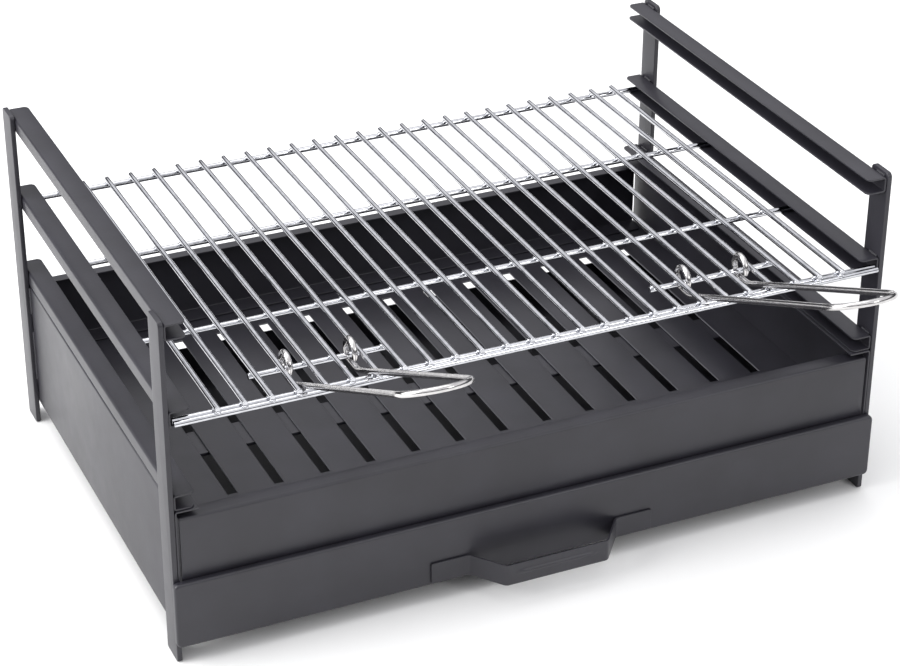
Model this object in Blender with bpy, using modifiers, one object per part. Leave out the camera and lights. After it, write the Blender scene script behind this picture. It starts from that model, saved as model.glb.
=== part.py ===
"""Charcoal grill for a table or a hearth: painted sheet steel with a chromed wire grate.

Four flat posts and six channel rails carry everything. Side, front and rear panels and a slotted
charcoal floor make the fire tray. The wire grate slides on the middle rails and has two folding wire
handles. The ash drawer slides on ledges below the floor.

Metres, +Z up. The drawer and the handles face -Y. The origin is at ground level, in the middle of the
space that the grill takes up with its handles resting forward.
"""

from math import cos, pi, radians, sin, tan

import bmesh
import bpy
from mathutils import Vector

for old in list(bpy.data.objects):
    bpy.data.objects.remove(old, do_unlink=True)

# Overall sizes and the gap between pieces that touch
WIDTH = 0.600  # across the outer faces of the posts
DEPTH = 0.402  # from the front edges of the front posts to the rear edges of the rear posts
HEIGHT = 0.290  # posts, from the feet
GAP = 0.0003

# Sheet steel
SHEET = 0.0015
FOLD = 0.0022  # outer radius of a fold

# Posts: flat bars that stand across the sides
POST_THICKNESS = 0.004
POST_WIDTH = 0.0235
POST_TOP_RADIUS = 0.004
POST_FOOT_RADIUS = 0.002

# Rails: channels that open inwards, three on each side
RAIL_HEIGHT = 0.013
RAIL_FLANGE = 0.0167
RAIL_END_RADIUS = 0.0045
RAIL_SETBACK = 0.001  # rail ends behind the edges of the posts
RAIL_DROP = 0.003  # top rail below the top of the posts
RAIL_PITCH = 0.0705

# Fire tray
PANEL_BOTTOM = 0.019  # lower edge of the side panels above the ground
LEDGE = 0.012
SIDE_FOLD = 0.0187
PANEL_SIDE_GAP = 0.0017  # end panels to side panels
FRONT_PANEL_SETBACK = 0.0005
FRONT_PANEL_TOP = 0.126
FRONT_PANEL_FOLD = 0.0135
REAR_PANEL_TOP = 0.127
REAR_PANEL_FOLD = 0.011
REAR_PANEL_FOOT = 0.020
PANEL_END_RADIUS = 0.005
FLOOR_UNDERSIDE = 0.0645
PANEL_LAP = 0.002  # front panel below the underside of the floor

# Slots of the charcoal floor
SLOT_PITCH = 0.0392
SLOT_WIDTH = 0.008
SLOT_FRONT_MARGIN = 0.106  # from the front edges of the posts
SLOT_REAR_MARGIN = 0.049  # from the rear edges of the posts
SLOT_SIDE_MARGIN = 0.030  # least, from the outer faces of the posts

# Brace under the charcoal floor
BRACE_START = 0.174
BRACE_WIDTH = 0.035
BRACE_THICKNESS = 0.003

# Grate
WIRE_DIAMETER = 0.0044
WIRE_PITCH = 0.0208
WIRE_MARGIN = 0.035  # least distance from the posts' outer faces to the first wire
WIRE_NOSE = 0.0011  # wires past the centre of the outer front rod
WIRE_OVERHANG = 0.003  # wires past the centre of the rear rod
ROD_DIAMETER = 0.0048
ROD_END_PLAY = 0.0012
THIRD_ROD_Y = 0.1212
SECOND_ROD_Y = 0.2596
REAR_ROD_SETBACK = 0.012

# Folding handles: each hooks under a short rod, three wire spaces wide. They are bent by hand, so
# the two rest at slightly different slopes, and one leans a little to the side.
HANDLE_DIAMETER = 0.0048
HANDLE_SIDE_PLAY = 0.00085
HANDLE_FIRST_WIRE = 3
HANDLE_WIRE_SPACES = 3
EYE_BORE = 0.0133
EYE_OPENING = radians(72)
SHORT_ROD_Y = 0.0405
SHORT_ROD_OVERHANG = 0.0032
HANDLE_SLOPE = {"left": radians(26.4), "right": radians(24.6)}
HANDLE_LEAN = {"left": 0.0, "right": -0.034}  # sideways, for each metre past the front rod
HANDLE_REACH = 0.192  # inner front rod to the centre of the round end
HANDLE_BEND_RADIUS = 0.020

# Ash drawer
TRAY_SIDE_PLAY = 0.0012
TRAY_HEIGHT = 0.025
TRAY_REAR_SETBACK = 0.028
TRAY_CORNER = 0.004
DRAWER_OVERHANG = 0.001
DRAWER_BOTTOM = 0.016
DRAWER_TOP = 0.0725
DRAWER_DEPTH = 0.0055
DRAWER_CORNER = 0.0045

# Drawer pull: a strip bent to a bow
PULL_THICKNESS = 0.0016
PULL_SPAN = 0.1915
PULL_TAB = 0.0315
PULL_GRIP = 0.088
PULL_REACH = 0.0277
PULL_HEIGHT = 0.0183
PULL_RAISE = 0.0025  # above the lower edge of the drawer front
PULL_BEND = 0.0024
PULL_END_RADIUS = 0.0015

BLACK_PAINT = ((0.022, 0.020, 0.024), 0.38, 0.0)
BRIGHT_CHROME = ((0.55, 0.56, 0.58), 0.14, 1.0)
DULL_CHROME = ((0.36, 0.35, 0.35), 0.30, 1.0)

# Places that follow from the sizes. X is 0 in the middle, Y is measured from the front of the posts.
POST_X = WIDTH / 2 - POST_THICKNESS / 2
WALL_X = WIDTH / 2 - POST_THICKNESS - GAP  # outer face of rails and side panels
INNER_X = WALL_X - SHEET
RAIL_LEVELS = {
    "top": HEIGHT - RAIL_DROP - RAIL_HEIGHT,
    "middle": HEIGHT - RAIL_DROP - RAIL_HEIGHT - RAIL_PITCH,
    "lower": HEIGHT - RAIL_DROP - RAIL_HEIGHT - 2 * RAIL_PITCH,
}
SIDE_PANEL_TOP = RAIL_LEVELS["lower"] - GAP
FLOOR_TOP = FLOOR_UNDERSIDE + SHEET
ROD_Z = RAIL_LEVELS["middle"] + SHEET + GAP + ROD_DIAMETER / 2
WIRE_Z = ROD_Z + ROD_DIAMETER / 2 + GAP + WIRE_DIAMETER / 2
OUTER_ROD_Y = RAIL_SETBACK - GAP - ROD_DIAMETER / 2  # against the rail ends
INNER_ROD_Y = OUTER_ROD_Y + ROD_DIAMETER + GAP
REAR_ROD_Y = DEPTH - REAR_ROD_SETBACK
ROD_LENGTH = 2 * (INNER_X - ROD_END_PLAY)
WIRE_COUNT = int((WIDTH - 2 * WIRE_MARGIN) / WIRE_PITCH) + 1
WIRE_X = [(k - (WIRE_COUNT - 1) / 2) * WIRE_PITCH for k in range(WIRE_COUNT)]
LEG_OFFSET = (WIRE_DIAMETER + HANDLE_DIAMETER) / 2 + HANDLE_SIDE_PLAY
LEG_SPAN = HANDLE_WIRE_SPACES * WIRE_PITCH - 2 * LEG_OFFSET
HANDLE_X = WIRE_X[-1 - HANDLE_FIRST_WIRE] - HANDLE_WIRE_SPACES * WIRE_PITCH / 2
HANDLE_TIP = (HANDLE_REACH + LEG_SPAN / 2) * cos(min(HANDLE_SLOPE.values())) + HANDLE_DIAMETER / 2
MIDDLE_Y = (DEPTH + INNER_ROD_Y - HANDLE_TIP) / 2
BODY_MIDDLE = DEPTH / 2

parts = bpy.data.collections.new("hibachi_grill")
bpy.context.scene.collection.children.link(parts)


def empty(name, at):
    """An empty that carries the pieces of one assembly."""
    obj = bpy.data.objects.new(name, None)
    obj.empty_display_size = 0.03
    obj.location = Vector(at) - Vector((0, MIDDLE_Y, 0))
    parts.objects.link(obj)
    return obj


def material(name, finish):
    colour, roughness, metallic = finish
    mat = bpy.data.materials.new(name)
    mat.use_nodes = True
    shader = mat.node_tree.nodes["Principled BSDF"]
    shader.inputs["Base Color"].default_value = (*colour, 1)
    shader.inputs["Roughness"].default_value = roughness
    shader.inputs["Metallic"].default_value = metallic
    return mat


def place(name, data, at, finish, parent=None, rotation=(0, 0, 0)):
    """Puts a piece at its place and hangs it on its assembly."""
    obj = bpy.data.objects.new(name, data)
    obj.location = Vector(at) - Vector((0, MIDDLE_Y, 0))
    obj.rotation_euler = rotation
    if not data.materials:
        data.materials.append(material(name + "_finish", finish))
    if parent:
        obj.parent = parent
        obj.location -= parent.location
    parts.objects.link(obj)
    return obj


def solidify(obj, thickness):
    """Gives a sheet its thickness, inwards from the outer face."""
    shell = obj.modifiers.new("thickness", "SOLIDIFY")
    shell.thickness = thickness
    shell.offset = -1
    shell.use_even_offset = True
    return obj


def mesh_from(bm, name):
    mesh = bpy.data.meshes.new(name)
    bm.to_mesh(mesh)
    bm.free()
    mesh.set_sharp_from_angle(angle=radians(35))
    return mesh


def face_outwards(bm, outside):
    """Turns an open sheet so that its outermost face looks along outside."""
    bmesh.ops.recalc_face_normals(bm, faces=bm.faces)
    outermost = max(bm.faces, key=lambda face: face.calc_center_median().dot(outside))
    if outermost.normal.dot(outside) < 0:
        bmesh.ops.reverse_faces(bm, faces=bm.faces)


def box(name, size):
    bm = bmesh.new()
    bmesh.ops.create_cube(bm, size=1)
    bmesh.ops.scale(bm, vec=size, verts=bm.verts)
    return mesh_from(bm, name)


def folded_sheet(name, profile, run, length, outside, fold, end_radius=0.0):
    """The outer face of a sheet that follows an open profile and is drawn out by length along run."""
    bm = bmesh.new()
    run = Vector(run)
    first = [bm.verts.new(Vector(point) - run * length / 2) for point in profile]
    edges = [bm.edges.new(pair) for pair in zip(first, first[1:])]
    drawn = bmesh.ops.extrude_edge_only(bm, edges=edges)["geom"]
    second = [item for item in drawn if isinstance(item, bmesh.types.BMVert)]
    bmesh.ops.translate(bm, verts=second, vec=run * length)
    if end_radius:
        corners = [vert for vert in bm.verts if len(vert.link_faces) == 1]
        bmesh.ops.bevel(
            bm, geom=corners, offset=end_radius, segments=4, profile=0.5, affect="VERTICES"
        )
    folds = [edge for edge in bm.edges if len(edge.link_faces) == 2]
    bmesh.ops.bevel(bm, geom=folds, offset=fold, segments=3, profile=0.5, affect="EDGES")
    face_outwards(bm, Vector(outside))
    return mesh_from(bm, name)


def pan(name, size, open_side, corner, fold):
    """The outer face of a pan: a box with one side left off, round corners and a rounded rim."""
    bm = bmesh.new()
    bmesh.ops.create_cube(bm, size=1)
    bmesh.ops.scale(bm, vec=size, verts=bm.verts)
    open_side = Vector(open_side)
    top = max(bm.faces, key=lambda face: face.normal.dot(open_side))
    bmesh.ops.delete(bm, geom=[top], context="FACES_ONLY")
    uprights = [
        edge
        for edge in bm.edges
        if abs((edge.verts[0].co - edge.verts[1].co).normalized().dot(open_side)) > 0.9
    ]
    bmesh.ops.bevel(bm, geom=uprights, offset=corner, segments=4, profile=0.5, affect="EDGES")
    base = min(bm.faces, key=lambda face: face.calc_center_median().dot(open_side))
    bmesh.ops.bevel(
        bm, geom=list(base.edges), offset=fold, segments=2, profile=0.5, affect="EDGES"
    )
    return mesh_from(bm, name)


def arc(centre, radius, start, end, steps):
    """Points on an arc in a plane, both ends included."""
    turn = (end - start) / steps
    return [
        (centre[0] + radius * cos(start + k * turn), centre[1] + radius * sin(start + k * turn))
        for k in range(steps + 1)
    ]


def plate(name, outlines, thickness):
    """A flat plate in its local XY plane. The outlines after the first are holes."""
    curve = bpy.data.curves.new(name, "CURVE")
    curve.dimensions = "2D"
    curve.fill_mode = "BOTH"
    curve.extrude = thickness / 2
    for outline in outlines:
        spline = curve.splines.new("POLY")
        spline.points.add(len(outline) - 1)
        for point, (x, y) in zip(spline.points, outline):
            point.co = (x, y, 0, 1)
        spline.use_cyclic_u = True
    return curve


def rectangle(x0, x1, y0, y1):
    return [(x0, y0), (x1, y0), (x1, y1), (x0, y1)]


def wire(name, path, diameter, resolution):
    curve = bpy.data.curves.new(name, "CURVE")
    curve.dimensions = "3D"
    curve.bevel_depth = diameter / 2
    curve.bevel_resolution = resolution
    curve.use_fill_caps = True
    spline = curve.splines.new("POLY")
    spline.points.add(len(path) - 1)
    for point, co in zip(spline.points, path):
        point.co = (*co, 1)
    return curve


def straight(name, axis, length, diameter):
    half = Vector(axis) * length / 2
    return wire(name, [tuple(-half), tuple(half)], diameter, 4)


def make_posts(frame):
    """Flat bars on edge, with rounded tops and feet."""
    half, top, foot = POST_WIDTH / 2, POST_TOP_RADIUS, POST_FOOT_RADIUS
    outline = (
        arc((-half + foot, foot), foot, pi, 1.5 * pi, 3)
        + arc((half - foot, foot), foot, 1.5 * pi, 2 * pi, 3)
        + arc((half - top, HEIGHT - top), top, 0, pi / 2, 4)
        + arc((-half + top, HEIGHT - top), top, pi / 2, pi, 4)
    )
    bar = plate("post", [outline], POST_THICKNESS)
    for end, y in (("front", half), ("rear", DEPTH - half)):
        for side, sign in (("left", -1), ("right", 1)):
            at = (sign * POST_X, y, 0)
            place(f"post_{end}_{side}", bar, at, BLACK_PAINT, frame, (pi / 2, 0, pi / 2))


def make_rails(frame):
    """Channels between the posts. The right ones are the left ones turned half round."""
    reach, height = RAIL_FLANGE, RAIL_HEIGHT
    profile = [(reach, 0, height), (0, 0, height), (0, 0, 0), (reach, 0, 0)]
    length = DEPTH - 2 * RAIL_SETBACK
    channel = folded_sheet("rail", profile, (0, 1, 0), length, (-1, 0, 0), FOLD, RAIL_END_RADIUS)
    for level, z in RAIL_LEVELS.items():
        for side, sign, turn in (("left", -1, 0), ("right", 1, pi)):
            at = (sign * WALL_X, BODY_MIDDLE, z)
            name = f"rail_{level}_{side}"
            solidify(place(name, channel, at, BLACK_PAINT, frame, (0, 0, turn)), SHEET)


def make_side_panels(frame):
    """Sides of the fire tray: folded in under the lower rail and, at the bottom, to a drawer ledge."""
    height = SIDE_PANEL_TOP - PANEL_BOTTOM
    profile = [(SIDE_FOLD, 0, height), (0, 0, height), (0, 0, 0), (LEDGE, 0, 0)]
    sheet = folded_sheet("side_panel", profile, (0, 1, 0), DEPTH, (-1, 0, 0), FOLD)
    for side, sign, turn in (("left", -1, 0), ("right", 1, pi)):
        at = (sign * WALL_X, BODY_MIDDLE, PANEL_BOTTOM)
        name = f"side_panel_{side}"
        solidify(place(name, sheet, at, BLACK_PAINT, frame, (0, 0, turn)), SHEET)


def make_end_panels(frame):
    """Front and rear of the fire tray. The rear panel stands on the charcoal floor."""
    length = 2 * (INNER_X - PANEL_SIDE_GAP)
    bottom = FLOOR_UNDERSIDE - PANEL_LAP
    height = FRONT_PANEL_TOP - bottom
    profile = [(0, 0, 0), (0, 0, height), (0, FRONT_PANEL_FOLD, height)]
    sheet = folded_sheet(
        "front_panel", profile, (1, 0, 0), length, (0, -1, 0), FOLD, PANEL_END_RADIUS
    )
    at = (0, FRONT_PANEL_SETBACK, bottom)
    solidify(place("front_panel", sheet, at, BLACK_PAINT, frame), SHEET)
    bottom = FLOOR_TOP + GAP
    height = REAR_PANEL_TOP - bottom
    profile = [(0, -REAR_PANEL_FOOT, 0), (0, 0, 0), (0, 0, height), (0, -REAR_PANEL_FOLD, height)]
    sheet = folded_sheet(
        "rear_panel", profile, (1, 0, 0), length, (0, 1, 0), FOLD, PANEL_END_RADIUS
    )
    at = (0, DEPTH - FRONT_PANEL_SETBACK, bottom)
    solidify(place("rear_panel", sheet, at, BLACK_PAINT, frame), SHEET)


def make_charcoal_floor(frame):
    """A flat plate with a row of ash slots, and the brace that carries it in the middle."""
    half_x = INNER_X - GAP
    y0 = FRONT_PANEL_SETBACK + SHEET + GAP
    y1 = DEPTH - y0
    count = int((WIDTH - 2 * SLOT_SIDE_MARGIN - SLOT_WIDTH) / SLOT_PITCH) + 1
    slot_end = DEPTH - SLOT_REAR_MARGIN
    outlines = [rectangle(-half_x, half_x, y0, y1)]
    for k in range(count):
        x0 = (k - (count - 1) / 2) * SLOT_PITCH - SLOT_WIDTH / 2
        outlines.append(rectangle(x0, x0 + SLOT_WIDTH, SLOT_FRONT_MARGIN, slot_end))
    floor = plate("charcoal_floor", outlines, SHEET)
    place("charcoal_floor", floor, (0, 0, FLOOR_UNDERSIDE + SHEET / 2), BLACK_PAINT, frame)
    brace = box("floor_brace", (2 * half_x, BRACE_WIDTH, BRACE_THICKNESS))
    z = FLOOR_UNDERSIDE - GAP - BRACE_THICKNESS / 2
    place("floor_brace", brace, (0, BRACE_START + BRACE_WIDTH / 2, z), BLACK_PAINT, frame)


def make_grate(grate):
    """Cross rods, four of which lie in the middle rails, and the wires on top of them."""
    rod = straight("cross_rod", (1, 0, 0), ROD_LENGTH, ROD_DIAMETER)
    rods = {
        "rod_rear": REAR_ROD_Y,
        "rod_second": SECOND_ROD_Y,
        "rod_third": THIRD_ROD_Y,
        "rod_front_inner": INNER_ROD_Y,
        "rod_front_outer": OUTER_ROD_Y,
    }
    for name, y in rods.items():
        place(name, rod, (0, y, ROD_Z), BRIGHT_CHROME, grate)
    y0 = OUTER_ROD_Y - WIRE_NOSE
    y1 = REAR_ROD_Y + WIRE_OVERHANG
    bar = straight("grill_wire", (0, 1, 0), y1 - y0, WIRE_DIAMETER)
    for k, x in enumerate(WIRE_X):
        place(f"grill_wire_{k + 1:02d}", bar, (x, (y0 + y1) / 2, WIRE_Z), BRIGHT_CHROME, grate)
    length = (HANDLE_WIRE_SPACES + 2) * WIRE_PITCH + 2 * SHORT_ROD_OVERHANG
    pin = straight("short_rod", (1, 0, 0), length, ROD_DIAMETER)
    for side, sign in (("left", -1), ("right", 1)):
        at = (sign * HANDLE_X, SHORT_ROD_Y, ROD_Z)
        place(f"short_rod_{side}", pin, at, BRIGHT_CHROME, grate)


def leg_path(slope):
    """Centre line of one leg as (y, z) about the short rod, from the open end of its eye."""
    radius = (EYE_BORE + HANDLE_DIAMETER) / 2
    eye_z = (EYE_BORE - ROD_DIAMETER) / 2 - GAP
    eye = arc((0, eye_z), radius, 1.5 * pi - EYE_OPENING, -pi / 2, 18)
    low = eye_z - radius
    rest_y = INNER_ROD_Y - SHORT_ROD_Y
    rest_z = ((ROD_DIAMETER + HANDLE_DIAMETER) / 2 + GAP) / cos(slope)
    bend_y = rest_y + (rest_z - low) / tan(slope)
    bend_start = bend_y + HANDLE_BEND_RADIUS * tan(slope / 2)
    centre = (bend_start, low + HANDLE_BEND_RADIUS)
    bend = arc(centre, HANDLE_BEND_RADIUS, -pi / 2, -pi / 2 - slope, 4)
    return eye + bend + [(rest_y, rest_z)]


def handle_path(slope, lean):
    """Centre line of a handle about its short rod: an eye, a leg, a round end, a leg and an eye."""
    leg = leg_path(slope)
    half = LEG_SPAN / 2
    rest_y, rest_z = leg[-1]
    bow = [
        (x + lean * reach, rest_y - reach * cos(slope), rest_z + reach * sin(slope))
        for x, reach in arc((0, HANDLE_REACH), half, pi, 0, 16)
    ]
    return [(-half, y, z) for y, z in leg] + bow + [(half, y, z) for y, z in reversed(leg)]


def make_handles(grate):
    """Bent wires that turn on the short rods, each with its origin on its rod's centre line."""
    for side, sign in (("left", -1), ("right", 1)):
        name = f"handle_{side}"
        path = handle_path(HANDLE_SLOPE[side], HANDLE_LEAN[side])
        at = (sign * HANDLE_X, SHORT_ROD_Y, ROD_Z)
        place(name, wire(name, path, HANDLE_DIAMETER, 2), at, DULL_CHROME, grate)


def make_drawer(drawer):
    """Ash tray on the side panels' ledges, hooked into a pan-shaped front."""
    front_y = -GAP - DRAWER_DEPTH
    size = (WIDTH + 2 * DRAWER_OVERHANG, DRAWER_DEPTH, DRAWER_TOP - DRAWER_BOTTOM)
    sheet = pan("drawer_front", size, (0, 1, 0), DRAWER_CORNER, FOLD)
    at = (0, front_y + DRAWER_DEPTH / 2, (DRAWER_TOP + DRAWER_BOTTOM) / 2)
    solidify(place("drawer_front", sheet, at, BLACK_PAINT, drawer), SHEET)
    y0 = front_y + SHEET + GAP
    y1 = DEPTH - TRAY_REAR_SETBACK
    size = (2 * (INNER_X - TRAY_SIDE_PLAY), y1 - y0, TRAY_HEIGHT)
    sheet = pan("ash_tray", size, (0, 0, 1), TRAY_CORNER, FOLD)
    at = (0, (y0 + y1) / 2, PANEL_BOTTOM + SHEET + GAP + TRAY_HEIGHT / 2)
    solidify(place("ash_tray", sheet, at, BLACK_PAINT, drawer), SHEET)
    half, reach = PULL_SPAN / 2, PULL_REACH
    seat = -GAP - PULL_THICKNESS
    profile = [
        (-half, seat, 0),
        (-half + PULL_TAB, seat, 0),
        (-PULL_GRIP / 2, -reach, 0),
        (PULL_GRIP / 2, -reach, 0),
        (half - PULL_TAB, seat, 0),
        (half, seat, 0),
    ]
    strip = folded_sheet(
        "drawer_handle", profile, (0, 0, 1), PULL_HEIGHT, (0, -1, 0), PULL_BEND, PULL_END_RADIUS
    )
    at = (0, front_y, DRAWER_BOTTOM + PULL_RAISE + PULL_HEIGHT / 2)
    solidify(place("drawer_handle", strip, at, BLACK_PAINT, drawer), PULL_THICKNESS)


frame = empty("frame", (0, MIDDLE_Y, 0))
grate = empty("grate", (0, BODY_MIDDLE, ROD_Z))
drawer = empty("drawer", (0, BODY_MIDDLE, PANEL_BOTTOM))
make_posts(frame)
make_rails(frame)
make_side_panels(frame)
make_end_panels(frame)
make_charcoal_floor(frame)
make_grate(grate)
make_handles(grate)
make_drawer(drawer)
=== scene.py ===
"""Charcoal grill for a table or a hearth: the looks of its pieces, in painted steel and chromed wire."""

from math import cos, pi, radians, sin, tan

import bpy
import numpy as np
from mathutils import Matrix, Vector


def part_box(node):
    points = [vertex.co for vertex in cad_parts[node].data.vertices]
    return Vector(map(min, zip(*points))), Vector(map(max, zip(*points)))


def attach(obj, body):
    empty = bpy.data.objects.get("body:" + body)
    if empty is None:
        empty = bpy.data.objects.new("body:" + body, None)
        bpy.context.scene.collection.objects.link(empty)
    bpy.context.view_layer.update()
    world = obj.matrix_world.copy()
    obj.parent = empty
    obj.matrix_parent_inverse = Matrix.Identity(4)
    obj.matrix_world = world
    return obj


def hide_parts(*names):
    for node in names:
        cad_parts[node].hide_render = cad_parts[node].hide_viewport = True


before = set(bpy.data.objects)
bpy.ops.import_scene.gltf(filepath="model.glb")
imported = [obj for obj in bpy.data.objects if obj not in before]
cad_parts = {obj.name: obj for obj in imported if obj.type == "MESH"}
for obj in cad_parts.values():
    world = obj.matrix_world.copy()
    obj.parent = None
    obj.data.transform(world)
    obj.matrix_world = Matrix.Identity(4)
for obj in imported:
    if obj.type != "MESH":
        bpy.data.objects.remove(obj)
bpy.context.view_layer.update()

# ---------------------------------------------------------------------------------------------------
# Studio: a pale floor without a seam, one wide soft box to the left, one overhead and a weaker one in
# front. The air is white above and grey towards the horizon, so that the chromed wires have something
# darker to mirror.

FLOOR_SIZE = 14.0
FLOOR_COLOUR = "#f4f4f3"
AIR = ((0.0, "#404044"), (0.28, "#505054"), (0.42, "#f6f6f9"), (1.0, "#fcfcff"))  # up, colour
AIR_STRENGTH = 1.15
LIGHTS = {  # place, what it looks at, width, height, power
    "soft_box_left": ((-2.6, 0.5, 1.5), (0, 0, 0.1), 2.4, 1.8, 88),
    "soft_box_top": ((-0.3, 0.5, 2.9), (0, 0, 0), 2.6, 2.2, 30),
    "soft_box_front": ((1.6, -3.0, 1.9), (0, 0, 0.1), 0.9, 0.9, 19),
}
CAMERA_PLACE = (-0.7390, -1.45971 - 0.102507, 1.12898)
CAMERA_TURN = (60.7825, -0.2521, -24.2294)
CAMERA_LENS = 99.91


def linear(colour):
    """Linear RGBA of an sRGB hex colour: c / 12.92 below 0.04045, else ((c + 0.055) / 1.055) to the 2.4."""
    c = np.array([int(colour[k : k + 2], 16) for k in (1, 3, 5)]) / 255
    c = np.where(c <= 0.04045, c / 12.92, ((c + 0.055) / 1.055) ** 2.4)
    return (*c.tolist(), 1.0)


def add(tree, kind, inputs=None, **settings):
    """Adds a shader node with its settings. An input that is an output of another node is linked."""
    node = tree.nodes.new("ShaderNode" + kind)
    for name, value in settings.items():
        setattr(node, name, value)
    for name, value in (inputs or {}).items():
        if isinstance(value, bpy.types.NodeSocket):
            tree.links.new(value, node.inputs[name])
        else:
            node.inputs[name].default_value = value
    return node


def new_material(name):
    material = bpy.data.materials.new(name)
    material.use_nodes = True
    material.node_tree.nodes.clear()
    return material


def aim(place, target):
    return (Vector(target) - Vector(place)).to_track_quat("-Z", "Y").to_euler()


scene = bpy.context.scene
scene.view_settings.view_transform = "Standard"

camera = bpy.data.objects.new("camera", bpy.data.cameras.new("camera"))
camera.location = CAMERA_PLACE
camera.rotation_euler = [radians(turn) for turn in CAMERA_TURN]
camera.data.lens = CAMERA_LENS
camera.data.sensor_width = 36
scene.collection.objects.link(camera)
scene.camera = camera

for name, (place, target, width, height, power) in LIGHTS.items():
    lamp = bpy.data.lights.new(name, "AREA")
    lamp.shape, lamp.size, lamp.size_y, lamp.energy = "RECTANGLE", width, height, power
    light = bpy.data.objects.new(name, lamp)
    light.location, light.rotation_euler = place, aim(place, target)
    scene.collection.objects.link(light)

world = bpy.data.worlds.new("air")
world.use_nodes = True
world.node_tree.nodes.clear()
way = add(world.node_tree, "TexCoord").outputs["Generated"]
up = add(world.node_tree, "SeparateXYZ", {"Vector": way}).outputs["Z"]
sky = add(world.node_tree, "ValToRGB", {"Fac": up})
for _ in AIR[2:]:
    sky.color_ramp.elements.new(0.5)
for stop, (height, colour) in zip(sky.color_ramp.elements, AIR):
    stop.position, stop.color = height, linear(colour)
air = add(world.node_tree, "Background", {"Color": sky.outputs[0], "Strength": AIR_STRENGTH})
add(world.node_tree, "OutputWorld", {"Surface": air.outputs[0]})
scene.world = world

paper = new_material("pale_floor_paper")
shader = add(
    paper.node_tree, "BsdfPrincipled", {"Base Color": linear(FLOOR_COLOUR), "Roughness": 0.75}
)
add(paper.node_tree, "OutputMaterial", {"Surface": shader.outputs[0]})
half = FLOOR_SIZE / 2
ground = bpy.data.meshes.new("floor")
ground.from_pydata(
    [(-half, -half, 0), (half, -half, 0), (half, half, 0), (-half, half, 0)], [], [(0, 1, 2, 3)]
)
ground.materials.append(paper)
floor = bpy.data.objects.new("floor", ground)
scene.collection.objects.link(floor)

# ---------------------------------------------------------------------------------------------------
# Posts: four flat bars of mild steel on edge, sheared to length with rounded tops, and painted with the
# rest of the frame. The feet are only eased. The brace under the charcoal floor is a flat bar as well.

POST_TOP_RADIUS = 0.004
POST_FOOT_RADIUS = 0.002
BAR_EDGE = 0.0005
PAINT_BLACK = "#26252b"
PAINT_THIN = "#2e2d34"
ORANGE_PEEL = 0.0024  # sprayed paint has a 1 to 2 mm peel; drawn a little coarser so that it shows
PANEL_WAVE = 0.060
SHEEN = (0.34, 0.42)  # roughness


def paint(name, black, thin, rough, wave):
    """Heat-proof black paint, sprayed and baked: satin, so lights blur to soft patches. A fine peel breaks
    up the sheen, thin coats look greyer, and the sheet under it is never quite flat."""
    material = new_material(name)
    tree = material.node_tree
    place = add(tree, "TexCoord").outputs["Object"]
    coat = add(tree, "TexNoise", {"Vector": place, "Scale": 1 / 0.045, "Detail": 4}).outputs[0]
    tone = add(tree, "ValToRGB", {"Fac": coat})
    tone.color_ramp.elements[0].position = 0.35
    tone.color_ramp.elements[0].color = linear(black)
    tone.color_ramp.elements[1].position = 0.75
    tone.color_ramp.elements[1].color = linear(thin)
    gloss = add(tree, "TexNoise", {"Vector": place, "Scale": 1 / 0.018, "Detail": 3}).outputs[0]
    gloss = add(tree, "MapRange", {"Value": gloss, "To Min": rough[0], "To Max": rough[1]})
    peel = add(tree, "TexNoise", {"Vector": place, "Scale": 1 / ORANGE_PEEL, "Detail": 2}).outputs[0]
    swell = add(tree, "TexNoise", {"Vector": place, "Scale": 1 / PANEL_WAVE, "Detail": 0}).outputs[0]
    swell = add(tree, "Bump", {"Height": swell, "Distance": wave, "Strength": 1.0})
    skin = add(
        tree,
        "Bump",
        {"Height": peel, "Distance": 0.00006, "Strength": 0.6, "Normal": swell.outputs[0]},
    )
    shader = add(
        tree,
        "BsdfPrincipled",
        {
            "Base Color": tone.outputs[0],
            "Roughness": gloss.outputs[0],
            "IOR": 1.5,
            "Normal": skin.outputs[0],
        },
    )
    add(tree, "OutputMaterial", {"Surface": shader.outputs[0]})
    return material


def shell_faces(rows, columns, cap):
    """Faces of a tube whose rows are rings. Every ring joins the next, and the end rings are closed by one
    flat face each or, for a sheet's thin section, by a strip of faces across its thickness."""
    k = np.arange(rows * columns).reshape(rows, columns)
    after = np.roll(k, -1, axis=1)
    sides = np.stack([k[:-1], after[:-1], after[1:], k[1:]], axis=-1).reshape(-1, 4)
    if cap == "face":
        return [sides, k[:1, ::-1], k[-1:]]
    a = np.arange(columns // 2 - 1)
    strip = np.stack([a, a + 1, columns - 2 - a, columns - 1 - a], axis=-1)
    return [sides, strip[:, ::-1], strip + (rows - 1) * columns]


def volume(points, faces):
    """Six times the volume inside the faces: each is a fan of triangles, seen from the origin."""
    total = 0.0
    for block in faces:
        corners = points[block] - points[0]
        fan = np.cross(corners[:, 1:-1], corners[:, 2:])
        total += np.einsum("fc,fkc->", corners[:, 0], fan)
    return total


def finish_piece(name, points, faces, material, body, nodes, lay=None, crease=32):
    """Puts a mesh into a piece that rides on its body and stands for its CAD nodes."""
    mesh = bpy.data.meshes.new(name)
    mesh.from_pydata(points, [], [face for block in faces for face in block.tolist()])
    mesh.materials.append(material)
    mesh.polygons.foreach_set("use_smooth", np.ones(len(mesh.polygons), bool))
    mesh.set_sharp_from_angle(angle=radians(crease))
    if lay is not None:
        straightened = mesh.attributes.new("lay", "FLOAT_VECTOR", "POINT")
        straightened.data.foreach_set("vector", lay.astype(np.float32).ravel())
    mesh.validate()
    piece = bpy.data.objects.new(name, mesh)
    scene.collection.objects.link(piece)
    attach(piece, body)
    if nodes:
        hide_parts(*nodes)
    return piece


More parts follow.
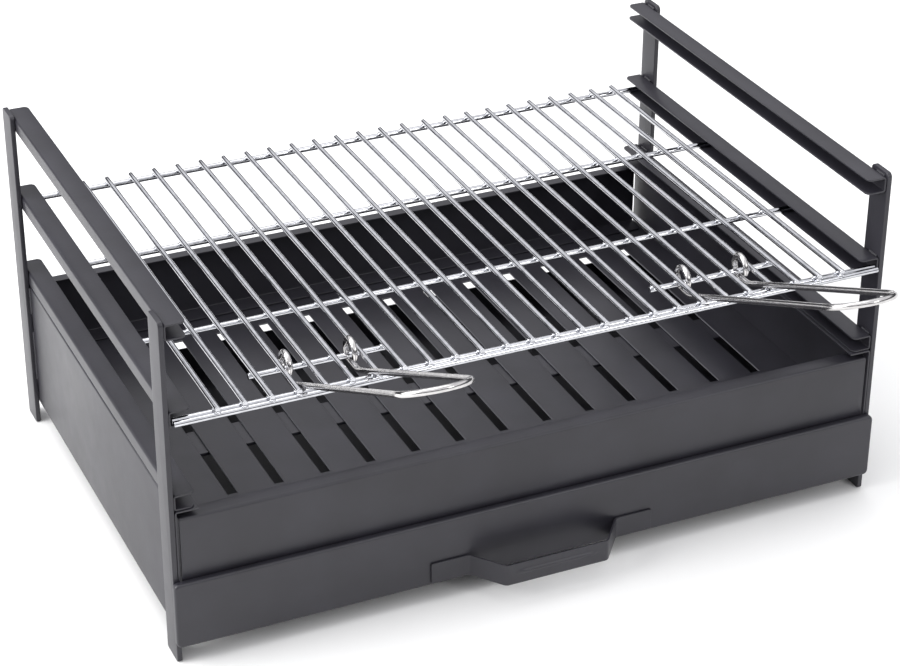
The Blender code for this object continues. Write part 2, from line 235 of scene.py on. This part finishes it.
def shells(name, grids, material, body, nodes=(), cap="face", lay=None, crease=32):
    """A piece of one or more closed shells. Each grid is (shells, rows, columns, 3), with rings as rows,
    and is turned right side out by the sign of its volume."""
    points, faces, start = [], [], 0
    for grid in grids:
        count, rows, columns, _ = grid.shape
        own = shell_faces(rows, columns, cap)
        if volume(grid[0].reshape(-1, 3), own) < 0:
            own = [block[:, ::-1] for block in own]
        steps = start + np.arange(count)[:, None, None] * rows * columns
        faces += [(block[None] + steps).reshape(-1, block.shape[1]) for block in own]
        points.append(grid.reshape(-1, 3))
        start += count * rows * columns
    return finish_piece(
        name, np.concatenate(points), faces, material, body, nodes, lay, crease
    )


def flat_bar(low, high, radii, edge):
    """Faces along x: an outline in y and z with four rounded corners, whose radii run from low y and low z
    round to low y and high z. Its inset and its x follow a quarter round at each edge."""
    y0, y1, z0, z1 = low[1], high[1], low[2], high[2]
    r = np.array(radii)
    centres = np.array([(y0, z0), (y1, z0), (y1, z1), (y0, z1)], float)
    centres += r[:, None] * np.array([(1, 1), (-1, 1), (-1, -1), (1, -1)])
    angle = (np.arange(4)[:, None] * pi / 2 + pi) + np.linspace(0, pi / 2, 7)
    way = np.stack([np.cos(angle), np.sin(angle)], axis=-1)
    x = np.concatenate([low[0] + depth_along(edge), high[0] - depth_along(edge)[::-1]])
    inset = np.concatenate([inset_along(edge), inset_along(edge)[::-1]])
    yz = centres[:, None] + (r[:, None] - inset[:, None, None])[..., None] * way
    rings = np.empty((len(x), 28, 3))
    rings[..., 0] = x[:, None]
    rings[..., 1:] = yz.reshape(len(x), 28, 2)
    return rings[None]


def depth_along(edge):
    """Depths through a rounded edge, from the face down to where the quarter round ends."""
    return edge * (1 - np.cos(np.linspace(0, pi / 2, 5)))


def inset_along(edge):
    """How far a rounded edge is drawn in at each of those depths."""
    return edge * (1 - np.sin(np.linspace(0, pi / 2, 5)))


black_paint = paint("satin_heatproof_black_paint", PAINT_BLACK, PAINT_THIN, SHEEN, 0.00012)

for end in ("front", "rear"):
    for side in ("left", "right"):
        node = f"post_{end}_{side}"
        low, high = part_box(node)
        radii = (POST_FOOT_RADIUS, POST_FOOT_RADIUS, POST_TOP_RADIUS, POST_TOP_RADIUS)
        bar = flat_bar(low, high, radii, BAR_EDGE)
        shells("bar_" + node, [bar], black_paint, "frame", [node])

low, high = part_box("floor_brace")
bar = flat_bar(low, high, (0.0006,) * 4, BAR_EDGE)
shells("bar_floor_brace", [bar], black_paint, "frame", ["floor_brace"])

# ---------------------------------------------------------------------------------------------------
# Rails, sides and ends of the fire tray: mild steel sheet, 1.5 mm, folded on a press brake and welded to
# the posts. The rails are channels with rounded flange ends, open towards the grate.

SHEET = 0.0015
FOLD = 0.0022
SHEAR_EDGE = 0.00035  # cut edges, rounded over by the paint
RAIL_END_RADIUS = 0.0045
PANEL_END_RADIUS = 0.005


def section(corners, setback, outward, divide=1):
    """Outer face of a folded sheet's section: straight legs, with an arc that starts setback before each
    corner. Gives the points, their outward normals, how deep the quarter round of a free edge is, and the
    direction in which a free edge can be drawn back."""
    corners = np.array(corners, float)
    legs = np.diff(corners, axis=0)
    legs /= np.linalg.norm(legs, axis=1)[:, None]
    normals = np.stack([legs[:, 1], -legs[:, 0]], axis=1)
    normals *= np.sign(normals[outward[0]] @ outward[1])
    fall, away = SHEAR_EDGE - np.sqrt(SHEAR_EDGE**2 - (SHEAR_EDGE - EASE) ** 2), EASE
    starts = [corners[0] + away[:, None] * legs[0]]
    point_rows, normal_rows = [starts[0]], [np.repeat(normals[:1], len(away), 0)]
    cuts = [starts[0][-1]]
    for k in range(1, len(corners) - 1):
        turn = np.arccos(np.clip(legs[k - 1] @ legs[k], -1, 1))
        radius = setback / tan(turn / 2)
        convex = 1 if legs[k] @ normals[k - 1] < 0 else -1
        sense = np.sign(np.cross(legs[k - 1], legs[k]))
        angle = sense * np.linspace(0, turn, 9)
        c, s = np.cos(angle), np.sin(angle)
        n = normals[k - 1]
        turned = np.stack([c * n[0] - s * n[1], s * n[0] + c * n[1]], axis=1)
        tangent = corners[k] - legs[k - 1] * setback
        arc = tangent - convex * radius * n + convex * radius * turned
        inner = np.linspace(cuts[-1], arc[0], divide + 1)[1:-1]
        point_rows += [inner, arc]
        normal_rows += [np.repeat(normals[k - 1 : k], len(inner), 0), turned]
        cuts.append(arc[-1])
    last = corners[-1] - away[::-1, None] * legs[-1]
    inner = np.linspace(cuts[-1], last[0], divide + 1)[1:-1]
    point_rows += [inner, last]
    normal_rows += [np.repeat(normals[-1:], len(inner) + len(away), 0)]
    points, normals = np.concatenate(point_rows), np.concatenate(normal_rows)
    depth = np.zeros(len(points))
    depth[: len(fall)], depth[-len(fall) :] = fall, fall[::-1]
    back = np.zeros((len(points), 2))
    back[: len(fall)], back[-len(fall) :] = legs[0], -legs[-1]
    return points, normals, depth, back


EASE = SHEAR_EDGE * np.array([0.0, 0.1, 0.35, 1.0])


def along(length, corner, steps=1):
    """Places along a sheet, from end to end, with the depth of the rounded cut at each, and how far a
    corner of the given radius draws the free edges back."""
    close = EASE if not corner else np.concatenate([EASE, corner * np.array([0.2, 0.4, 0.7, 1.0])])
    place = np.concatenate([close, np.linspace(close[-1], length - close[-1], steps + 1)[1:-1]])
    place = np.concatenate([place, length - close[::-1]])
    rim = np.minimum(place, length - place)
    near = np.clip(SHEAR_EDGE - rim, 0, None)
    depth = SHEAR_EDGE - np.sqrt(SHEAR_EDGE**2 - near**2)
    near = np.clip(corner - rim, 0, None)
    return place, depth, corner - np.sqrt(corner**2 - near**2)


def folded(shape, run, thickness, origin, u, v, w, swell=None):
    """A sheet's section carried along w. A point is origin + a u + b v + c w, where (a, b) goes from the
    outer face to the inner one along the normal, and c is the place along the sheet."""
    points, normals, depth, back = shape
    place, dip, drawn = run
    base = points + drawn[:, None, None] * back
    cut = np.minimum(depth + dip[:, None], thickness * 0.45)[..., None]
    lift = 0 if swell is None else swell(base, place[:, None])[..., None] * normals
    outer = base - cut * normals + lift
    inner = base - (thickness - cut) * normals + lift
    ring = np.concatenate([outer, inner[:, ::-1]], axis=1)
    axes = [np.array(axis, float) for axis in (u, v, w)]
    grid = ring[..., :1] * axes[0] + ring[..., 1:] * axes[1] + place[:, None, None] * axes[2]
    return (np.array(origin) + grid)[None]


SIDES = (("left", 1), ("right", -1))
for level in ("top", "middle", "lower"):
    for side, inwards in SIDES:
        node = f"rail_{level}_{side}"
        low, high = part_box(node)
        reach, height = high[0] - low[0], high[2] - low[2]
        corners = [(reach, height), (0, height), (0, 0), (reach, 0)]
        shape = section(corners, FOLD, (1, (-1, 0)))
        origin = (low[0] if inwards > 0 else high[0], low[1], low[2])
        run = along(high[1] - low[1], RAIL_END_RADIUS)
        grid = folded(shape, run, SHEET, origin, (inwards, 0, 0), (0, 0, 1), (0, 1, 0))
        shells("channel_" + node, [grid], black_paint, "frame", [node], "strip")

SIDE_FOLD = 0.0187
LEDGE = 0.012
for side, inwards in SIDES:
    node = f"side_panel_{side}"
    low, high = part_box(node)
    height = high[2] - low[2]
    shape = section([(SIDE_FOLD, height), (0, height), (0, 0), (LEDGE, 0)], FOLD, (1, (-1, 0)))
    origin = (low[0] if inwards > 0 else high[0], low[1], low[2])
    grid = folded(
        shape, along(high[1] - low[1], 0), SHEET, origin, (inwards, 0, 0), (0, 0, 1), (0, 1, 0)
    )
    shells("sheet_" + node, [grid], black_paint, "frame", [node], "strip")

low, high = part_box("front_panel")
height, fold = high[2] - low[2], high[1] - low[1]
shape = section([(0, 0), (0, height), (fold, height)], FOLD, (0, (-1, 0)))
run = along(high[0] - low[0], PANEL_END_RADIUS)
grid = folded(shape, run, SHEET, low, (0, 1, 0), (0, 0, 1), (1, 0, 0))
shells("sheet_front_panel", [grid], black_paint, "frame", ["front_panel"], "strip")

REAR_PANEL_FOLD = 0.011
low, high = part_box("rear_panel")
height, foot = high[2] - low[2], high[1] - low[1]
shape = section([(foot, 0), (0, 0), (0, height), (REAR_PANEL_FOLD, height)], FOLD, (1, (-1, 0)))
run = along(high[0] - low[0], PANEL_END_RADIUS)
origin = (low[0], high[1], low[2])
grid = folded(shape, run, SHEET, origin, (0, -1, 0), (0, 0, 1), (1, 0, 0))
shells("sheet_rear_panel", [grid], black_paint, "frame", ["rear_panel"], "strip")

# ---------------------------------------------------------------------------------------------------
# Charcoal floor: a flat plate of the same sheet, slotted in a press, so that each slot has a rolled edge
# above and a small burr below. It is painted with the tray and dulls first.

SLOT_PITCH = 0.0392
SLOT_WIDTH = 0.008
SLOT_FRONT = 0.106  # from the front of the posts
SLOT_REAR = 0.049  # from the rear of the posts
SLOT_COUNT = 14
SLOT_EDGE = 0.0006
# A light grey for the painted highlight that runs along every slot rim.
EDGE_HIGHLIGHT_GREY = "#77777c"


def slotted_plate(low, high, slots, edge):
    """Top and bottom are one height field: the plate's face, less a quarter round that depends on the
    distance to the nearest slot, hypot(max(x0 - x, x - x1, 0), max(y0 - y, y - y1, 0)). Cells inside a
    slot are left out, and walls close every border between a cell and a gap."""
    ease = edge * np.array([0.0, 0.1, 0.35, 0.65, 1.0])
    x = np.unique(np.concatenate([(low[0], high[0]), *(s[0] - ease for s in slots), *(s[1] + ease for s in slots)]).round(7))
    y = np.unique(np.concatenate([(low[1], high[1]), slots[0][2] - ease, slots[0][3] + ease]).round(7))
    s = np.array(slots).T[:, :, None, None]
    dx = np.clip(np.maximum(s[0] - x[None, :, None], x[None, :, None] - s[1]), 0, None)
    dy = np.clip(np.maximum(s[2] - y, y - s[3]), 0, None)
    rim = np.hypot(dx, dy).min(0)
    dip = edge - np.sqrt(edge**2 - np.clip(edge - rim, 0, None) ** 2)
    flat = np.stack(np.meshgrid(x, y, indexing="ij"), axis=-1)
    top = np.concatenate([flat, (high[2] - dip)[..., None]], axis=-1)
    bottom = np.concatenate([flat, (low[2] + dip)[..., None]], axis=-1)
    mx, my = (x[1:] + x[:-1]) / 2, (y[1:] + y[:-1]) / 2
    inside = (mx[None, :, None] > s[0]) & (mx[None, :, None] < s[1]) & (my > s[2]) & (my < s[3])
    solid = ~inside.any(0)
    t = np.arange(top[..., 0].size).reshape(len(x), len(y))
    b = t + t.size
    quads = lambda a, m: np.stack([a[:-1, :-1], a[1:, :-1], a[1:, 1:], a[:-1, 1:]], -1)[m]
    faces = [quads(t, solid), quads(b, solid)[:, ::-1]]
    p = np.pad(solid, 1)
    east = np.stack([b[:, :-1], b[:, 1:], t[:, 1:], t[:, :-1]], -1)
    north = np.stack([b[1:], b[:-1], t[:-1], t[1:]], -1)
    west_solid, east_solid = p[:-1, 1:-1], p[1:, 1:-1]
    south_solid, north_solid = p[1:-1, :-1], p[1:-1, 1:]
    faces += [east[west_solid & ~east_solid], east[east_solid & ~west_solid][:, ::-1]]
    faces += [north[south_solid & ~north_solid], north[north_solid & ~south_solid][:, ::-1]]
    # Mask of the painted highlight: 1 at the very rim of a slot, falling to 0 where the rounding ends.
    edge_highlight = np.tile((dip / edge).ravel(), 2)
    return np.concatenate([top.reshape(-1, 3), bottom.reshape(-1, 3)]), faces, edge_highlight


def paint_edge_highlight(material):
    """Painted highlight along the slot rims: the colour goes to a light grey with "edge_highlight", as if
    the rounded edges caught the light.
    """
    tree = material.node_tree
    shader = next(node for node in tree.nodes if node.type == "BSDF_PRINCIPLED")
    colour = shader.inputs["Base Color"].links[0].from_socket
    edge_highlight = add(tree, "Attribute", attribute_name="edge_highlight").outputs["Fac"]
    mix = add(tree, "MixRGB", {"Fac": edge_highlight, "Color1": colour, "Color2": linear(EDGE_HIGHLIGHT_GREY)})
    tree.links.new(mix.outputs[0], shader.inputs["Base Color"])


low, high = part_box("charcoal_floor")
front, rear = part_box("post_front_left")[0][1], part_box("post_rear_left")[1][1]
first = -(SLOT_COUNT - 1) / 2 * SLOT_PITCH - SLOT_WIDTH / 2
slots = [
    (x, x + SLOT_WIDTH, front + SLOT_FRONT, rear - SLOT_REAR)
    for x in first + SLOT_PITCH * np.arange(SLOT_COUNT)
]
points, faces, edge_highlight = slotted_plate(low, high, slots, SLOT_EDGE)
# The floor's paint carries a painted highlight on the slot rims.
floor_paint = paint("satin_black_paint_with_painted_slot_edge_highlight", PAINT_BLACK, PAINT_THIN, SHEEN, 0.00012)
paint_edge_highlight(floor_paint)
plate = finish_piece(
    "plate_charcoal_floor", points, faces, floor_paint, "frame", ["charcoal_floor"]
)
plate.data.attributes.new("edge_highlight", "FLOAT", "POINT").data.foreach_set("value", edge_highlight)

# ---------------------------------------------------------------------------------------------------
# Ash drawer: a shallow tray and a pan-shaped front, pressed from the same sheet, with a strip bent to a
# bow as the pull. A short rib stiffens the grip.

TRAY_CORNER = 0.004
DRAWER_CORNER = 0.0045


def pan(low, high, mouth, corner, fold, thickness, edge):
    """Rings of a pan whose mouth opens along one axis: the section runs from the middle of the base over the
    fold and up the wall, round the rim, and back inside. Each ring is a rounded rectangle, set in by that
    section's inset, at that section's depth."""
    low, high = np.array(low), np.array(high)
    axis, sense = mouth
    u, v = [k for k in range(3) if k != axis]
    size = high - low
    bend = np.linspace(0, pi / 2, 7)
    round_ = np.linspace(0, pi / 2, 4)
    inner = fold - thickness
    height = size[axis]
    inset = np.concatenate([
        fold * (1 - np.sin(bend)),
        edge * (1 - np.cos(round_)),
        thickness - edge * (1 - np.sin(round_)),
        fold - inner * np.sin(bend[::-1]),
    ])
    depth = np.concatenate([
        fold * (1 - np.cos(bend)),
        height - edge * (1 - np.sin(round_)),
        height - edge * (1 - np.cos(round_)),
        fold - inner * np.cos(bend[::-1]),
    ])
    centres = np.array([(1, 1), (-1, 1), (-1, -1), (1, -1)]) * (size[[u, v]] / 2 - corner)
    angle = np.arange(4)[:, None] * pi / 2 + np.linspace(0, pi / 2, 7)
    way = np.stack([np.cos(angle), np.sin(angle)], axis=-1)
    ring = centres[:, None] + (corner - inset[:, None, None, None]) * way
    grid = np.empty((len(depth), 28, 3))
    grid[..., [u, v]] = ring.reshape(len(depth), 28, 2) + ((low + high) / 2)[[u, v]]
    grid[..., axis] = (low[axis] + depth if sense > 0 else high[axis] - depth)[:, None]
    return grid[None]


low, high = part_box("drawer_front")
grid = pan(low, high, (1, 1), DRAWER_CORNER, FOLD, SHEET, SHEAR_EDGE)
shells("pan_drawer_front", [grid], black_paint, "drawer", ["drawer_front"])
low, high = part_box("ash_tray")
grid = pan(low, high, (2, 1), TRAY_CORNER, FOLD, SHEET, SHEAR_EDGE)
shells("pan_ash_tray", [grid], black_paint, "drawer", ["ash_tray"])

PULL_THICKNESS = 0.0016
PULL_TAB = 0.0315
PULL_GRIP = 0.088
PULL_BEND = 0.0024
PULL_END_RADIUS = 0.0015
RIB_LENGTH = 0.069
RIB_HALF_HEIGHT = 0.0026
RIB_RISE = 0.0012
RIB_PLACE = 0.0105  # above the strip's lower edge


def rib(points, place):
    """Height of the pressed rib: it falls smoothly from its ridge with the distance to a short line."""
    past = np.clip(np.abs(points[..., 0]) - RIB_LENGTH / 2 + RIB_HALF_HEIGHT, 0, None)
    rim = np.clip(np.hypot(past, place - RIB_PLACE) / RIB_HALF_HEIGHT, 0, 1)
    return RIB_RISE * (1 - rim**2 * (3 - 2 * rim))


low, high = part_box("drawer_handle")
half, reach = (high[0] - low[0]) / 2, high[1] - low[1]
corners = [
    (-half, 0.0),
    (-half + PULL_TAB, 0.0),
    (-PULL_GRIP / 2, PULL_THICKNESS - reach),
    (PULL_GRIP / 2, PULL_THICKNESS - reach),
    (half - PULL_TAB, 0.0),
    (half, 0.0),
]
shape = section(corners, PULL_BEND, (0, (0, -1)), 40)
run = along(high[2] - low[2], PULL_END_RADIUS, 30)
origin = (0, high[1] - PULL_THICKNESS, low[2])
grid = folded(shape, run, PULL_THICKNESS, origin, (1, 0, 0), (0, 1, 0), (0, 0, 1), rib)
shells(
    "strip_drawer_handle", [grid], black_paint, "drawer", ["drawer_handle"], "strip"
)

# ---------------------------------------------------------------------------------------------------
# Grate: bright drawn wire on thicker cross rods, resistance welded at every crossing and chromed after
# that. The rods are cut square and run inside the rails, and the wires end just past the last rods.

CHROME = "#cfd0d4"
CHROME_SHADE = "#b9babe"
WIRE_END = 0.0006
ROD_END = 0.00025
ROUND = 24


def chromed_wire(name, bright, shade, rough, line):
    """Chromed steel wire: a mirror with faint lengthwise lines from the drawing die, which stretch every
    light along the wire, and a slightly duller skin where the plating is thin."""
    material = new_material(name)
    tree = material.node_tree
    lay = add(tree, "Attribute", attribute_name="lay").outputs["Vector"]
    drawn = add(tree, "Mapping", {"Vector": lay, "Scale": (1 / 0.0008, 1 / 0.0008, 1 / 0.080)})
    lines = add(tree, "TexNoise", {"Vector": drawn.outputs[0], "Scale": 1.0, "Detail": 3}).outputs[0]
    cloud = add(tree, "TexNoise", {"Vector": lay, "Scale": 1 / 0.006, "Detail": 4}).outputs[0]
    tone = add(tree, "ValToRGB", {"Fac": cloud})
    tone.color_ramp.elements[0].position = 0.3
    tone.color_ramp.elements[0].color = linear(shade)
    tone.color_ramp.elements[1].position = 0.65
    tone.color_ramp.elements[1].color = linear(bright)
    gloss = add(tree, "MapRange", {"Value": cloud, "To Min": rough[1], "To Max": rough[0]})
    skin = add(tree, "Bump", {"Height": lines, "Distance": line, "Strength": 1.0})
    shader = add(
        tree,
        "BsdfPrincipled",
        {
            "Base Color": tone.outputs[0],
            "Metallic": 1.0,
            "Roughness": gloss.outputs[0],
            "Normal": skin.outputs[0],
        },
    )
    add(tree, "OutputMaterial", {"Surface": shader.outputs[0]})
    return material


def tube(path, up, radius, phase=0.0):
    """A circle carried along a path. A point is path + radius (cos a side + sin a up), where side is the
    tangent crossed with up. The second result is where it would be on a wire left straight."""
    tangent = np.gradient(path, axis=0)
    side = np.cross(tangent, up)
    side /= np.linalg.norm(side, axis=1)[:, None]
    a = np.linspace(0, 2 * pi, ROUND, endpoint=False)[:, None]
    ring = np.cos(a) * side[:, None] + np.sin(a) * up[:, None]
    reach = np.broadcast_to(np.asarray(radius, float), len(path))[:, None, None]
    travelled = np.r_[0, np.cumsum(np.linalg.norm(np.diff(path, axis=0), axis=1))] + phase
    lay = np.empty((len(path), ROUND, 3))
    lay[..., :1] = reach * np.cos(a)
    lay[..., 1:2] = reach * np.sin(a)
    lay[..., 2] = travelled[:, None]
    return (path[:, None] + reach * ring)[None], lay


def straight(low, high, axis, edge, bow, phase):
    """A wire or rod that fills a box along one axis, with a quarter round at both ends. It bows sideways by
    a slow sine, as hand-straightened wire does."""
    low, high = np.array(low), np.array(high)
    length = high[axis] - low[axis]
    close = edge * (1 - np.cos(np.linspace(0, pi / 2, 5)))
    s = np.concatenate([close, np.linspace(close[-1], length - close[-1], 26)[1:-1]])
    s = np.concatenate([s, length - close[::-1]])
    near = np.clip(edge - np.minimum(s, length - s), 0, edge)
    other = 1 - axis
    path = np.repeat(((low + high) / 2)[None], len(s), 0)
    path[:, axis] = low[axis] + s
    path[:, other] += bow * np.sin(2 * pi * s / length * 1.3 + phase) * np.sin(pi * s / length)
    radius = (high[2] - low[2]) / 2
    up = np.repeat([[0.0, 0.0, 1.0]], len(s), 0)
    return tube(path, up, radius - edge + np.sqrt(edge**2 - near**2), phase)


bright_chrome = chromed_wire("bright_chromed_wire", CHROME, CHROME_SHADE, (0.035, 0.07), 0.0000015)

WIRES = [node for node in sorted(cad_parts) if node.startswith("grill_wire_")]
for k, node in enumerate(WIRES):
    low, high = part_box(node)
    grid, lay = straight(low, high, 1, WIRE_END, 0.00022, 1.7 * k)
    shells(
        "drawn_" + node, [grid], bright_chrome, "grate", [node], lay=lay, crease=50
    )

RODS = ["rod_rear", "rod_second", "rod_third", "rod_front_inner", "rod_front_outer"]
SHORT_RODS = ["short_rod_left", "short_rod_right"]
for k, node in enumerate(RODS + SHORT_RODS):
    low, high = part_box(node)
    grid, lay = straight(low, high, 0, ROD_END, 0.0, 2.3 * k + 40)
    shells(
        "drawn_" + node, [grid], bright_chrome, "grate", [node], lay=lay, crease=50
    )

WELD = (0.0026, 0.0027, 0.0011)


def nuggets(centres, size):
    """Small flattened balls of weld metal: a circle of radius sin b at height cos b, stretched to size."""
    b = np.linspace(0.12, pi - 0.12, 7)[:, None]
    a = np.linspace(0, 2 * pi, 12, endpoint=False)
    ball = np.stack([np.sin(b) * np.cos(a), np.sin(b) * np.sin(a), np.cos(b) * np.ones(12)], -1)
    return np.asarray(centres)[:, None, None] + ball * np.asarray(size)


middle = lambda node: (np.array(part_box(node)[0]) + np.array(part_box(node)[1])) / 2
wire_x = np.array([middle(node)[0] for node in WIRES])
contact = (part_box(RODS[0])[1][2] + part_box(WIRES[0])[0][2]) / 2
crossings = [(x, middle(rod)[1], contact) for rod in RODS for x in wire_x]
for rod in SHORT_RODS:
    low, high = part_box(rod)
    crossings += [(x, middle(rod)[1], contact) for x in wire_x if low[0] < x < high[0]]
grid = nuggets(crossings, WELD)
lay = grid.reshape(-1, 3)
shells("grate_welds", [grid], bright_chrome, "grate", lay=lay, crease=80)

# ---------------------------------------------------------------------------------------------------
# Welds of the frame: short beads of mild steel wire weld where the rails meet the posts and where the
# posts meet the side panels, painted over. Each bead is a row of overlapping flattened balls.

BEAD = (0.0013, 0.0013, 0.0017)
BEAD_STEP = 0.0017


def bead_row(start, end):
    """Centres of the balls of a bead, evenly spaced from start to end."""
    start, end = np.array(start, float), np.array(end, float)
    count = int(np.linalg.norm(end - start) / BEAD_STEP) + 1
    return start + np.linspace(0, 1, count)[:, None] * (end - start)


beads = []
for side, inwards in SIDES:
    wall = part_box(f"side_panel_{side}")
    face = wall[0][0] if inwards > 0 else wall[1][0]
    for end in ("front", "rear"):
        low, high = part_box(f"post_{end}_{side}")
        edge = high[1] if end == "front" else low[1]
        for z0, z1 in ((0.108, 0.130), (0.044, 0.088)):
            beads.append(bead_row((face, edge, z0), (face, edge, z1)))
        for level in ("top", "middle", "lower"):
            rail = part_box(f"rail_{level}_{side}")
            z = rail[1][2] - 0.0004
            beads.append(bead_row((face, low[1] + 0.005, z), (face, low[1] + 0.014, z)))
grid = nuggets(np.concatenate(beads), BEAD)
shells("frame_welds", [grid], black_paint, "frame", crease=80)

# ---------------------------------------------------------------------------------------------------
# Handles: softer wire, bent by hand round a peg at each end to an eye that hooks under its short rod, and
# chromed dull. They lean forward over the front rods.

HANDLE_SLOPE = {"left": radians(26.4), "right": radians(24.6)}
HANDLE_LEAN = {"left": 0.0, "right": -0.034}
HANDLE_REACH = 0.192
HANDLE_BEND = 0.020
EYE_BORE = 0.0133
EYE_OPENING = radians(72)
CLEARANCE = 0.0003
HANDLE_DIAMETER = 0.0048
PEWTER = "#d4d2d1"
PEWTER_SHADE = "#bcbaba"


def handle_centre_line(side, rod_radius, inner_rod, half):
    """Centre line about the short rod, with the direction that stays on the inside of each bend. A leg is
    an arc round the eye, a shallow bend and a straight rise at the slope. The round end is a half circle
    in the plane of the slope."""
    slope, lean = HANDLE_SLOPE[side], HANDLE_LEAN[side]
    radius = (EYE_BORE + HANDLE_DIAMETER) / 2
    eye_z = EYE_BORE / 2 - rod_radius - CLEARANCE
    low = eye_z - radius
    rest_z = (rod_radius + HANDLE_DIAMETER / 2 + CLEARANCE) / cos(slope)
    bend_y = inner_rod + (rest_z - low) / tan(slope) + HANDLE_BEND * tan(slope / 2)
    a = np.linspace(1.5 * pi - EYE_OPENING, -pi / 2, 60)
    b = np.linspace(-pi / 2, -pi / 2 - slope, 10)[1:]
    y = np.r_[radius * np.cos(a), bend_y + HANDLE_BEND * np.cos(b), inner_rod]
    z = np.r_[eye_z + radius * np.sin(a), low + HANDLE_BEND * (1 + np.sin(b)), rest_z]
    up_y = np.r_[-np.cos(a), -np.cos(b), sin(slope)]
    up_z = np.r_[-np.sin(a), -np.sin(b), cos(slope)]
    leg = np.stack([np.full(len(y), -half), y, z], axis=1)
    leg_up = np.stack([np.zeros(len(y)), up_y, up_z], axis=1)
    c = np.linspace(pi, 0, 60)
    reach = HANDLE_REACH + half * np.sin(c)
    x = half * np.cos(c) + lean * reach
    bow = np.stack([x, inner_rod - reach * cos(slope), rest_z + reach * sin(slope)], axis=1)
    bow_up = np.repeat([[0, sin(slope), cos(slope)]], len(c), 0)
    path = np.concatenate([leg, bow, leg[::-1] * (-1, 1, 1)])
    return path, np.concatenate([leg_up, bow_up, leg_up[::-1]])


dull_chrome = chromed_wire("dull_chromed_wire", PEWTER, PEWTER_SHADE, (0.15, 0.21), 0.000002)

for side in ("left", "right"):
    node = f"handle_{side}"
    low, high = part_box(node)
    rod = middle(f"short_rod_{side}")
    rod_radius = (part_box(f"short_rod_{side}")[1][2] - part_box(f"short_rod_{side}")[0][2]) / 2
    half = high[0] - rod[0] - HANDLE_DIAMETER / 2
    path, up = handle_centre_line(side, rod_radius, middle("rod_front_inner")[1] - rod[1], half)
    radius = np.full(len(path), HANDLE_DIAMETER / 2)
    grid, lay = tube(path + rod, up, radius, 7.7 + half)
    shells("bent_" + node, [grid], dull_chrome, node, [node], lay=lay, crease=50)
